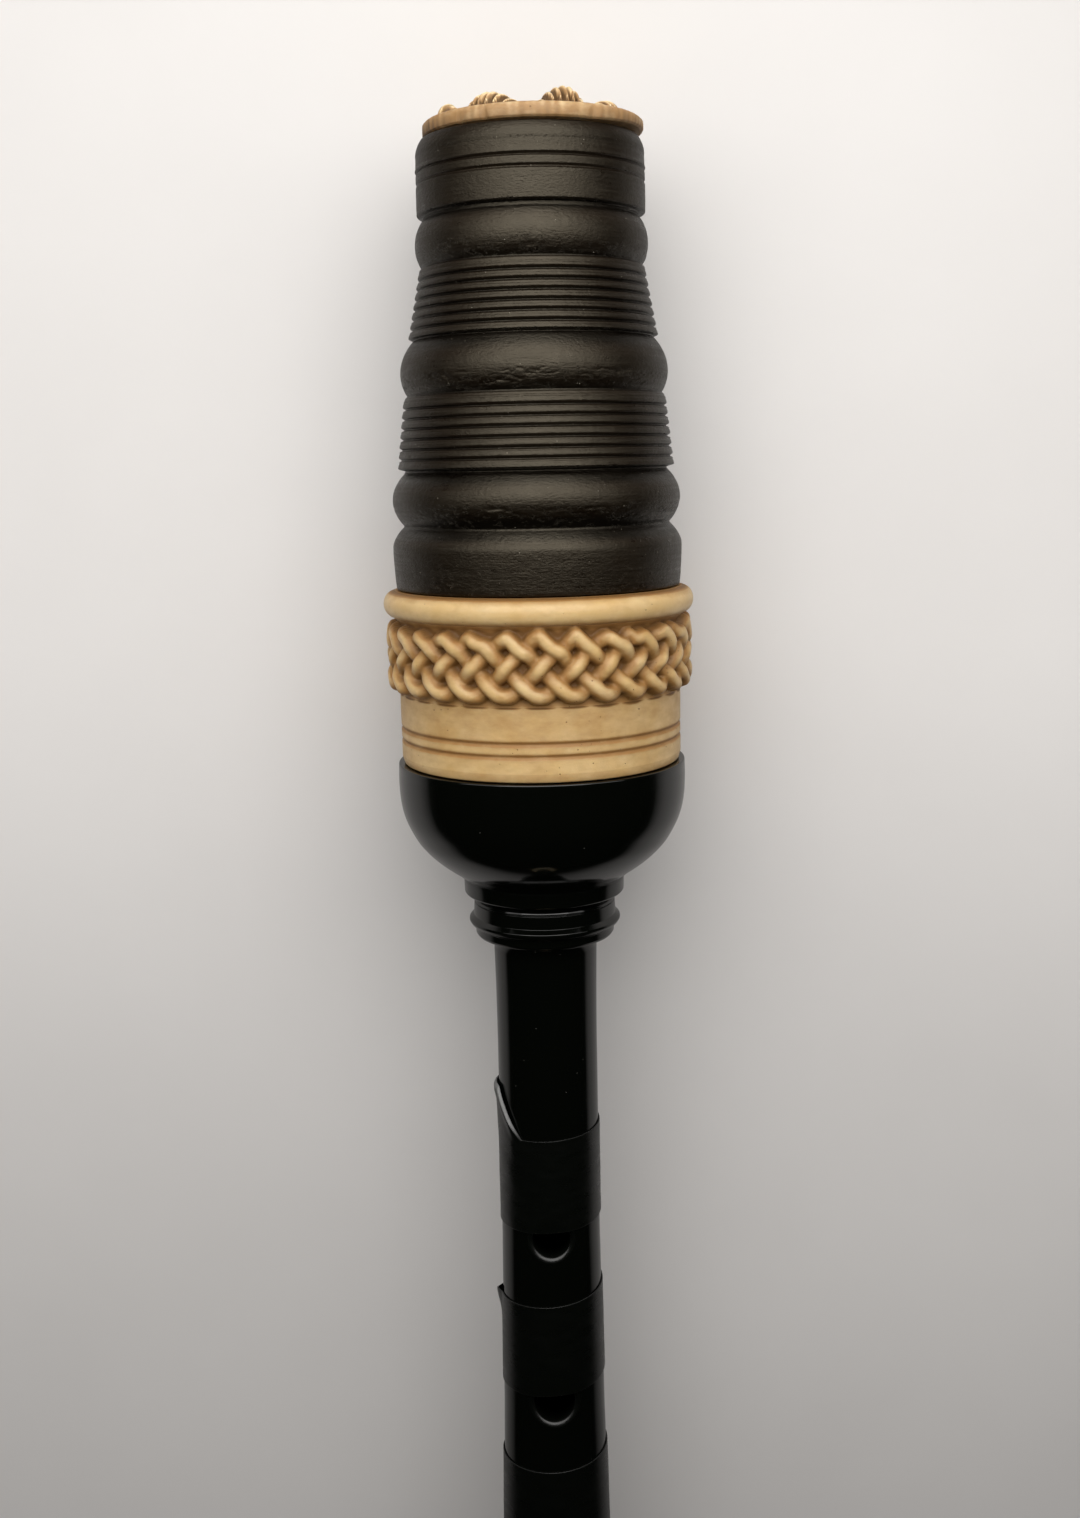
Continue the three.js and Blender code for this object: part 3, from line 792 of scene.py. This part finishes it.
FERRULE_BORE, FERRULE_BODY, FERRULE_TOP = 17.15, 20.6, 25.4  # two radii and a height
CAP_FOOT, CAP_TOP, CAP_BORE, CAP_BORE_TOP = 25.55, 87.1, 11.2, 70  # the bore ends in a plain blind face
CREST_STEM, CREST_RECESS = 9.6, 84.35  # the disc's stem, and the height of its foot in the cap
# The turned outside, by bands: where each starts and its radius there, how far it bulges, how squarely.
CAP_BANDS = (
    (CAP_FOOT, 20.5, 0.1, 0.5), (31.4, 20.85, 0.42, 0.8), (34.45, 19.05, 1.7, 0.95), (41.85, 18.95, 0, 1),
    (42.25, 18.7, 0.12, 0.7), (42.6, 19.85, 0, 1), (51.85, 18.75, 0.08, 0.7), (52.65, 18.1, 1.34, 0.92),
    (60.05, 17.15, 0, 1), (60.3, 16.9, 0.1, 0.7), (60.6, 17.7, 0, 1), (69.6, 15.96, 0.05, 0.7),
    (70, 15.4, 1.03, 0.82), (76.3, 15.2, 0, 1), (76.85, 15.1, 0.05, 0.7), (77.1, 15.95, 0.06, 0.5),
    (84.6, 15.86, 0.3, 0.8), (CAP_TOP, 15, 0, 1),
)
# Where the rows of the cap's outside change their spacing, and the spacing from there up.
CAP_ROWS = (
    (CAP_FOOT, 0.22), (35, 0.12), (38, 0.22), (41.4, 0.11), (56, 0.22), (59.8, 0.11), (70.2, 0.2),
    (76, 0.09), (77.5, 0.22), (80.3, 0.08), (83.1, 0.2), (87.15, 0),
)
LOWER_RIBS = (43.1, 1.4, 7, 0.42, 0.2)  # first ridge, pitch, ridges, groove depth and half width
UPPER_RIBS = (60.97, 1.34, 7, 0.48, 0.22)
DRUM_GROOVES = ((81.1, 0.3, 0.2), (82.6, 0.34, 0.17))


def banded(heights):
    """The radius of the cap's turned outside."""
    radii = np.zeros_like(heights)
    for (low, low_r, bulge, power), (high, high_r, _, _) in zip(CAP_BANDS, CAP_BANDS[1:]):
        inside = (heights >= low) & (heights <= high)
        t = (heights[inside] - low) / (high - low)
        radii[inside] = low_r + (high_r - low_r) * t + bulge * np.maximum(4 * t * (1 - t), 0) ** power
    return radii


def combed(heights, ribs):
    """Depth cut between ridges, with a faint line along each ridge."""
    first, pitch, count, depth, width = ribs
    cut = np.zeros_like(heights)
    for i in range(count - 1):
        cut += depth * hump(heights - first - (i + 0.5) * pitch, width, 2.4)
    for i in range(count):
        cut += 0.08 * hump(heights - first - (i + 0.14) * pitch, 0.1)
        within = np.clip((heights - first) / pitch - i + 0.5, 0, 1)
        cut += 0.1 * within * (within < 1)
    return cut


def depth_below(values, reach_rows, reach_cols=0):
    """How far each grid value lies under the highest one near it."""
    highest = values
    for shift in range(1, reach_rows + 1):
        up = np.vstack([values[shift:], np.repeat(values[-1:], shift, 0)])
        down = np.vstack([np.repeat(values[:1], shift, 0), values[:-shift]])
        highest = np.maximum(highest, np.maximum(up, down))
    across = highest
    for shift in range(1, reach_cols + 1):
        across = np.maximum(across, np.maximum(np.roll(highest, shift, 1), np.roll(highest, -shift, 1)))
    return across - values


def softened(values, reach):
    """A grid averaged over its neighbours, round and along."""
    spread = sum(np.roll(values, shift, 1) for shift in range(-reach, reach + 1)) / (2 * reach + 1)
    rows = len(values)
    near = [np.clip(np.arange(rows) + shift, 0, rows - 1) for shift in range(-reach, reach + 1)]
    return sum(spread[k] for k in near) / (2 * reach + 1)


def cracks(angles, heights, levels, seed):
    """Ragged casting cracks that wander along the given heights, with gaps."""
    rng = np.random.default_rng(seed)
    total = np.zeros((len(heights), len(angles)))
    for level in levels:
        path, gate = np.full(len(angles), level), np.zeros(len(angles))
        for _ in range(6):
            path += rng.uniform(0.04, 0.12) * np.cos(rng.integers(12, 110) * angles + rng.uniform(0, 6))
            gate += np.cos(rng.integers(3, 22) * angles + rng.uniform(0, 6))
        total += 0.09 * hump(heights[:, None] - path, 0.11) * ease(gate, 0, 1.6)
    return total


def scars(angles, heights, zones, seed, count):
    """Small casting flaws, drawn out round the cap, within the (low, high) zones of height."""
    rng = np.random.default_rng(seed)
    total = np.zeros((len(heights), len(angles)))
    for _ in range(count):
        low, high = zones[rng.integers(len(zones))]
        at, turn = rng.uniform(low, high), rng.uniform(0, tau)
        long, tall, depth = rng.uniform(0.015, 0.1), rng.uniform(0.1, 0.4), rng.uniform(-0.16, 0.09)
        total += depth * np.outer(hump(heights - at, tall), hump(wrapped(angles - turn), long))
    return total


def cap_body():
    """The cap: beads and combed bands turned outside, and the bore that clears the reed."""
    angles = columns(384)
    heights = np.concatenate([
        np.arange(low, high, step) for (low, step), (high, _) in zip(CAP_ROWS, CAP_ROWS[1:])
    ])
    radii = banded(heights) - combed(heights, LOWER_RIBS) - combed(heights, UPPER_RIBS)
    for at, depth, width in DRUM_GROOVES:
        radii -= depth * hump(heights - at, width, 2.5)
    radii += 0.09 * hump(heights - 82.95, 0.2)  # the upper groove's raised lip
    surface = radii[:, None] + wobble(angles, heights, 4, 0.035)
    under_beads = ((34.6, 37.4), (42.3, 44.5), (52.8, 55.2), (70.1, 71.4))
    surface += scars(angles, heights, under_beads, 5, 190) * 0.75
    surface += scars(angles, heights, ((26, 87),), 8, 110) * 0.5
    surface -= cracks(angles, heights, (53.4, 53.8, 54.25, 54.7, 55.1, 35.6, 36.1, 36.6, 37.1), 21)
    even = np.arange(CAP_FOOT, CAP_TOP, 0.1)
    sunk = depth_below(np.interp(even, heights, radii)[:, None], 9)[:, 0]
    slope = np.gradient(banded(even), even)
    foot = fillet([
        (0.4, CAP_BORE_TOP, 0), (10, CAP_BORE_TOP, 0.4), (CAP_BORE, 68.6, 0.4), (CAP_BORE, 1.4, 0.3),
        (12, 0.3, 0.2), (17, 0.3, 0.2), (17, CAP_FOOT, 0),
    ], 3)
    head = fillet([(10.2, CAP_TOP, 0), (10.2, 84, 0.2), (0.4, 84, 0)], 3)
    every_r = grid(angles, foot[:, 0], surface, head[:, 0])
    every_z = np.concatenate([foot[:, 1], heights, head[:, 1]])
    ends = (len(foot), len(head))
    turned(
        "cap_turning", "cap", "cast_black", "cap_body", CAST, every_r, every_z + RIM, angles,
        capped(*every_r.shape),
        # hollow sets brown in the grooves and, deeper, painted shade; under sets painted shade on the beads'
        # undersides and where the casting flaws go
        hollow=np.pad(np.interp(heights, even, sunk), ends),
        under=np.pad(np.clip(np.interp(heights, even, slope) * 2.2, 0, 1), ends),
    )


BRAID_Z, BRAID_SWING, BRAID_BIGHTS = 15.93, 3.8, 28
STRAND_HALF, STRAND_TOP, STRAND_WEAVE, STRAND_DEPTH = 1.14, 21.86, 0.48, 1.15
BEND = 0.82  # how straight the strands run between the bights, under 1


def braid(angles, heights, ground):
    """The ferrule's cast plait of four strands: each swings seven times round, over and under the others."""
    arc = angles * 22  # the length round the plait
    step = arc[1] - arc[0]
    span = int(2.6 / step)
    rng = np.random.default_rng(11)
    best = np.broadcast_to(ground[:, None], (len(heights), len(angles))).copy()
    eighths = np.arange(9) * pi / 4
    over = (0.5, 1, -1, 1, 0.5, -1, 1, -1, 0.5)
    for strand in range(4):
        phase = BRAID_BIGHTS / 4 * angles + strand * pi / 2
        drift = sum(0.09 * np.cos(n * angles + rng.uniform(0, 6.28)) for n in rng.integers(5, 60, 5)) / 2
        swing = np.arcsin(BEND * np.cos(phase)) / math.asin(BEND)
        centre = BRAID_Z + BRAID_SWING * (1 + 0.4 * drift) * swing + drift
        top = STRAND_TOP + STRAND_WEAVE * np.sin(pi / 2 * np.interp(phase % tau, eighths, over))
        nearest = np.full(best.shape, 1e9)
        level = np.zeros(best.shape)
        for shift in range(-span, span + 1):
            z0, z1 = np.roll(centre, -shift), np.roll(centre, -shift - 1)
            slope = z1 - z0
            along = ((-shift * step) * step + (heights[:, None] - z0) * slope) / (step**2 + slope**2)
            t = np.clip(along, 0, 1)
            gap = np.hypot(shift * step + t * step, z0 + t * slope - heights[:, None])
            closer = gap < nearest
            nearest = np.where(closer, gap, nearest)
            level = np.where(closer, np.roll(top, -shift), level)
        width = STRAND_HALF * (1 + 0.5 * drift)
        x = np.clip(nearest / width, 0, 1)
        body = level - STRAND_DEPTH * (1 - (1 - x**2.2) ** 0.5)
        best = np.where(nearest < width, np.maximum(best, body), best)
    return best


def ferrule():
    """The cast ferrule: half-round top bead, plaited band, and a plain band with two scribed lines."""
    angles = columns(BRAID_BIGHTS * 24)
    foot = fillet([(FERRULE_BORE, 0.15, 0), (20.35, 0.15, 0.3), (FERRULE_BODY, 1.2, 0)], 4)
    plain = np.arange(1.3, 10.6, 0.16)
    plain_r = FERRULE_BODY - sum(0.3 * hump(plain - at, 0.22) for at in (3.72, 5.5))
    woven = np.arange(10.6, 21.75, 0.185)
    ground = np.interp(woven, (10.6, 11.6, 12.4, 20.2, 21, 21.7), (20.6, 20.55, 20.42, 20.42, 20.55, 21.3))
    bead_arc = np.linspace(0.12, pi - 0.25, 17)
    bead = np.c_[21.1 + 1.44 * np.sin(bead_arc), 23.45 - 1.78 * np.cos(bead_arc)]
    head = fillet([(21.35, 25.2, 0), (20.9, 25.38, 0.2), (FERRULE_BORE, FERRULE_TOP, 0)], 3)
    below, above = np.vstack([foot, np.c_[plain_r, plain]]), np.vstack([bead, head])
    surface = grid(angles, below[:, 0], braid(angles, woven, ground), above[:, 0])
    heights = np.concatenate([below[:, 1], woven, above[:, 1]])
    outer = slice(3, len(heights) - 3)
    hollow = np.zeros(surface.shape)
    hollow[outer] = softened(depth_below(surface[outer], 3, 3), 2)
    hollow[len(foot) : len(below)] *= 4
    hollow[len(below) : len(below) + len(woven)] *= (0.55 + 0.75 * ease(woven, 10.9, 12.4))[:, None]
    stain = 0.28 + 0.12 * ease(heights, 2, 8) - 0.25 * ease(heights, 11, 13)
    # and much darker on the head's top face, where it meets the cap
    stain = stain * (1 - ease(heights, 21, 21.6)) + 0.9 * ease(heights, 24.9, 25.35)
    hollow += stain[:, None]
    surface[outer] += wobble(angles, heights[outer], 9, 0.03)
    turned(
        "ferrule_casting", "cap", "aged_ivory", "cap_ferrule", FERRULE, surface, heights + RIM, angles,
        hollow=hollow,
    )


CREST_UNDER, CREST_FACE = 87.25, 89.15
CREST_OFFSET = 0.5  # the disc sits a little off the bore's line
CREST_BOSSES = (  # angle from -Y in degrees, distance from the axis, half width, height
    (-31, 11.4, 3.5, 2.3), (20, 11.3, 3.3, 2.75), (-80, 12, 1.9, 2.5), (56, 11.8, 2.5, 1.6),
    (103, 11.4, 2.7, 1.9), (-108, 11.4, 2.7, 1.9), (144, 11.4, 2.8, 2.2), (-146, 11.4, 2.8, 2.1),
    (180, 11.4, 2.6, 1.7),
)


def dome(distance, reach, height, power=0.5):
    return height * np.clip(1 - (distance / reach) ** 2, 0, 1) ** power


def crest_relief(x, y):
    """The carving, of fluted shells round a rope, petals and a boss: its height above the disc, and how deep
    in stain it lies."""
    r, turn = np.hypot(x, y), np.arctan2(x, -y)
    relief = -0.35 * (1 - ease(r, 13.3, 13.9))
    rope = dome(np.abs(r - 7.6), 0.75, 0.75) * (0.75 + 0.25 * np.cos(36 * turn + 5 * (r - 7.6)))
    petals = dome(np.abs(r - 3.9), 2.9, 1.35) * (0.45 + 0.55 * np.abs(np.cos(4 * turn)) ** 0.7)
    button = dome(r, 2.1, 2.7, 0.6)
    relief = relief + np.maximum(rope, np.maximum(petals, button))
    bright, carved = np.zeros_like(relief), np.zeros(relief.shape, bool)
    for degrees, distance, half, height in CREST_BOSSES:
        a = math.radians(degrees)
        cx, cy = distance * math.sin(a), -distance * math.cos(a)
        out = (x - cx) * math.sin(a) - (y - cy) * math.cos(a)
        side = (x - cx) * math.cos(a) + (y - cy) * math.sin(a)
        for lobe in range(-3, 4):
            across = side - lobe * 0.27 * half
            along = out + 0.045 * half * lobe**2 + 0.1 * half
            reach = np.hypot(across / (0.155 * half), along / (0.85 * half))
            top = (height + 0.35) * (1 - 0.05 * lobe**2 + 0.03 * lobe)
            relief = np.maximum(relief, -0.35 + dome(reach, 1, top, 0.42))
            crown = hump(across, 0.09 * half) * ease(relief, 0, 0.45 * height)
            bright = np.where(reach < 1, np.maximum(bright, crown), bright)
            carved = carved | (reach < 1)
    return relief, np.where(carved, 1.6 * (1 - ease(bright, 0.2, 0.75)), 0)


def crest():
    """The carved disc on the cap's top, with a striated edge, a painted highlight along the top of the edge's
    middle, and a few knocks.
    """
    angles = columns(480)
    rings = np.linspace(14.75, 0.12, 120)
    relief, stain = crest_relief(np.outer(rings, np.sin(angles)), -np.outer(rings, np.cos(angles)))
    rng = np.random.default_rng(3)
    knocks = zip(rng.uniform(-3.14, 3.14, 14), rng.uniform(0.01, 0.04, 14), rng.uniform(0.05, 0.2, 14))
    nicks = sum(depth * hump(wrapped(angles - at), width) for at, width, depth in knocks)
    ripple = 0.02 * np.cos(angles * 61) + 0.015 * np.cos(angles * 97 + 1)
    edge = fillet([
        (CREST_STEM, CREST_RECESS, 0), (CREST_STEM, CREST_UNDER, 0), (14.95, CREST_UNDER, 0.1),
        (15.24, CREST_UNDER + 0.25, 0.1), (15.28, 87.8, 0), (15.3, 88.1, 0), (15.3, 88.45, 0),
        (15.28, CREST_FACE - 0.25, 0), (15, CREST_FACE, 0),
    ], 3)
    radii, edge_z = grid(angles, edge[:, 0]), grid(angles, edge[:, 1])
    outside = edge[:, 0] > 14.5
    radii[outside] += ripple - nicks * (1.2 - ease(edge_z[outside], CREST_UNDER, CREST_FACE))
    gap = 0.5 * ease(np.sin(angles - 0.15), 0.35, 1)
    edge_z[outside] += gap * (1 - ease(edge_z[outside], CREST_UNDER, CREST_FACE - 0.3))
    every_r = grid(angles, rings[-1:], radii, rings)
    every_z = grid(angles, [CREST_RECESS], edge_z, CREST_FACE + relief)
    hollow = np.zeros(every_z.shape)
    first = 1 + len(edge)
    sunk = np.maximum(depth_below(every_z[first:], 5, 3), 0.3 * (relief < -0.2))
    hollow[first:] = np.where(stain > 0, stain, sunk)
    rise = ease(edge[:, 1:], CREST_UNDER, CREST_FACE)
    streaks = sum(0.024 * np.cos(n * angles + rng.uniform(0, 6)) for n in rng.integers(5, 90, 9))
    # The edge's wash, streaked: less of it along the top of the edge and round its middle, a painted
    # highlight, and so darker towards its foot and both sides; more, and more streaked, on the left.
    hollow[1:first] = 0.8 - 0.3 * rise + streaks + 0.13 * ease(np.abs(np.sin(angles - 0.1)), 0.2, 0.9)
    hollow[1:first] += (0.3 - 0.25 * rise + 2 * streaks) * ease(-np.sin(angles), 0.72, 0.98)
    points = polar(every_r, angles, every_z + RIM).reshape(-1, 3) + (CREST_OFFSET, 0, 0)
    faces = capped(*every_r.shape)
    piece("crest_carving", "cap", "patinated_ivory", "cap_crest", CREST, points, faces, hollow=hollow)


cap_body()
ferrule()
crest()

# ---- Table, light and camera ----

LIGHTS_Y = 0.47  # the middle of the two main lights, beyond the cap


def table():
    """A wide pale matt table, in metres. In reflections it is painted dark, a painted shade, except close
    round the cap, and beyond the cap, under the low lights, it is painted greyer, a painted shade. Outside
    the main view it glows to the camera, and so meets the pale surround."""
    rings = np.array([0.0001, 0.15, 0.3, 0.45, 0.6, 0.8, 1, 1.4, 2, 3, 6, 12])
    angles = columns(96)
    mesh = bpy.data.meshes.new("table")
    points = spin(rings, rings * 0, angles)
    mesh.from_pydata(points.tolist(), [], grid_faces(len(rings), len(angles), False))
    f = Finish("table_matt", Roughness=0.75, Specular_IOR_Level=0.25)
    ground = f.tree.nodes.new("ShaderNodeNewGeometry").outputs["Position"]
    split = f.node("ShaderNodeSeparateXYZ", Vector=ground)
    along = split.outputs["Y"]
    across = f.math("ABSOLUTE", split.outputs["X"])
    near = f.length(across, f.math("SUBTRACT", along, 0.08))
    # painted shade for reflections: the table is dark in them, except close round the cap
    dim = f.math("MAXIMUM", f.fit(near, 0.09, 0.23, 0.4, 1), f.fit(along, -0.02, -0.14))
    mottle = f.fit(f.noise(14, 4, 0.55, ground), 0.3, 0.7)
    # painted shade: the paper greyer beyond the cap, under the low lights
    beyond = f.times(f.fit(along, 0.13, 0.5, 0, 0.75), f.fit(along, 0.7, 0.85, 1, 0))
    beyond = f.times(beyond, f.fit(across, 0.4, 0.6, 1, 0))
    paper = f.blend(mottle, (0.8, 0.779, 0.767), (0.76, 0.739, 0.727))
    paper = f.blend(beyond, paper, (0.2, 0.195, 0.19))
    away = f.math("ABSOLUTE", f.math("SUBTRACT", along, LIGHTS_Y))
    unlit = f.length(f.fit(across, 0.5, 0.8), f.fit(away, 0.27, 0.55))
    ends = f.math("ADD", f.fit(along, -0.035, -0.2), f.fit(along, 0.7, 0.9))
    glow = f.length(f.fit(across, 0.1, 0.28), ends)
    glow = f.times(f.fit(glow, 0, 1, 0, 0.36), f.fit(unlit, 0, 1, 0.1, 1))
    glow = f.math("ADD", glow, f.fit(f.length(across, along), 0.25, 0.9, 0, 0.38))
    f.set(
        Base_Color=f.blend(f.times(dim, f.rays("Is Glossy Ray")), paper, (0.02, 0.02, 0.02)),
        Emission_Strength=f.times(glow, f.rays("Is Camera Ray")),
        Emission_Color=(1, 0.98, 0.96, 1),
    )
    mesh.materials.append(f.material)
    show("table", mesh)


def window(name, y, z, width, length, watts):
    """A soft rectangular light that faces straight down."""
    lamp = bpy.data.lights.new(name, "AREA")
    lamp.shape = "RECTANGLE"
    lamp.size, lamp.size_y = width, length
    lamp.energy = watts
    lamp.color = (1, 0.985, 0.96)
    obj = show(name, lamp)
    obj.location = (0, y, z)
    obj.visible_camera = False
    return obj


def surround():
    """A dim even room, darker still in reflections, which the camera sees as a pale ground."""
    world = bpy.data.worlds.new("surround")
    bpy.context.scene.world = world
    world.use_nodes = True
    tree = world.node_tree
    shown = tree.nodes["Background"]
    shown.inputs["Color"].default_value = (1, 0.99, 0.98, 1)
    shown.inputs["Strength"].default_value = 0.05
    rays = tree.nodes.new("ShaderNodeLightPath")
    for ray, colour in (("Glossy", (0.004, 0.005, 0.004, 1)), ("Camera", (0.8, 0.79, 0.78, 1))):
        other = tree.nodes.new("ShaderNodeBackground")
        other.inputs["Color"].default_value = colour
        mix = tree.nodes.new("ShaderNodeMixShader")
        tree.links.new(rays.outputs[f"Is {ray} Ray"], mix.inputs["Fac"])
        tree.links.new(shown.outputs[0], mix.inputs[1])
        tree.links.new(other.outputs[0], mix.inputs[2])
        shown = mix
    tree.links.new(shown.outputs[0], tree.nodes["World Output"].inputs["Surface"])


def camera():
    """Above the cap, looking down at the finger holes and a little towards the sole."""
    tilt, roll = math.radians(10.66), math.radians(-1.163)
    ahead = Vector((0, math.cos(tilt), -math.sin(tilt)))
    up = Vector((0, math.sin(tilt), math.cos(tilt)))
    pose = Matrix((Vector((1, 0, 0)), up, -ahead)).transposed().to_4x4() @ Matrix.Rotation(roll, 4, "Z")
    stand = Matrix.Translation(Vector((-0.26, -231.9, RIM + 43.36)) * MM)
    lens = bpy.data.cameras.new("camera")
    lens.lens = 37.553
    lens.sensor_width = 36
    lens.clip_start = 0.01
    obj = show("camera", lens)
    obj.matrix_world = LAY @ stand @ pose
    bpy.context.scene.camera = obj


table()
window("key_wide", LIGHTS_Y, 0.252, 1, 0.57, 2.35)
window("key_middle", LIGHTS_Y, 0.25, 0.36, 0.57, 1.25)
window("ceiling_fill", 0.04, 0.25, 0.45, 0.22, 0.14).visible_glossy = False
surround()
camera()
bpy.context.scene.view_settings.view_transform = "Standard"
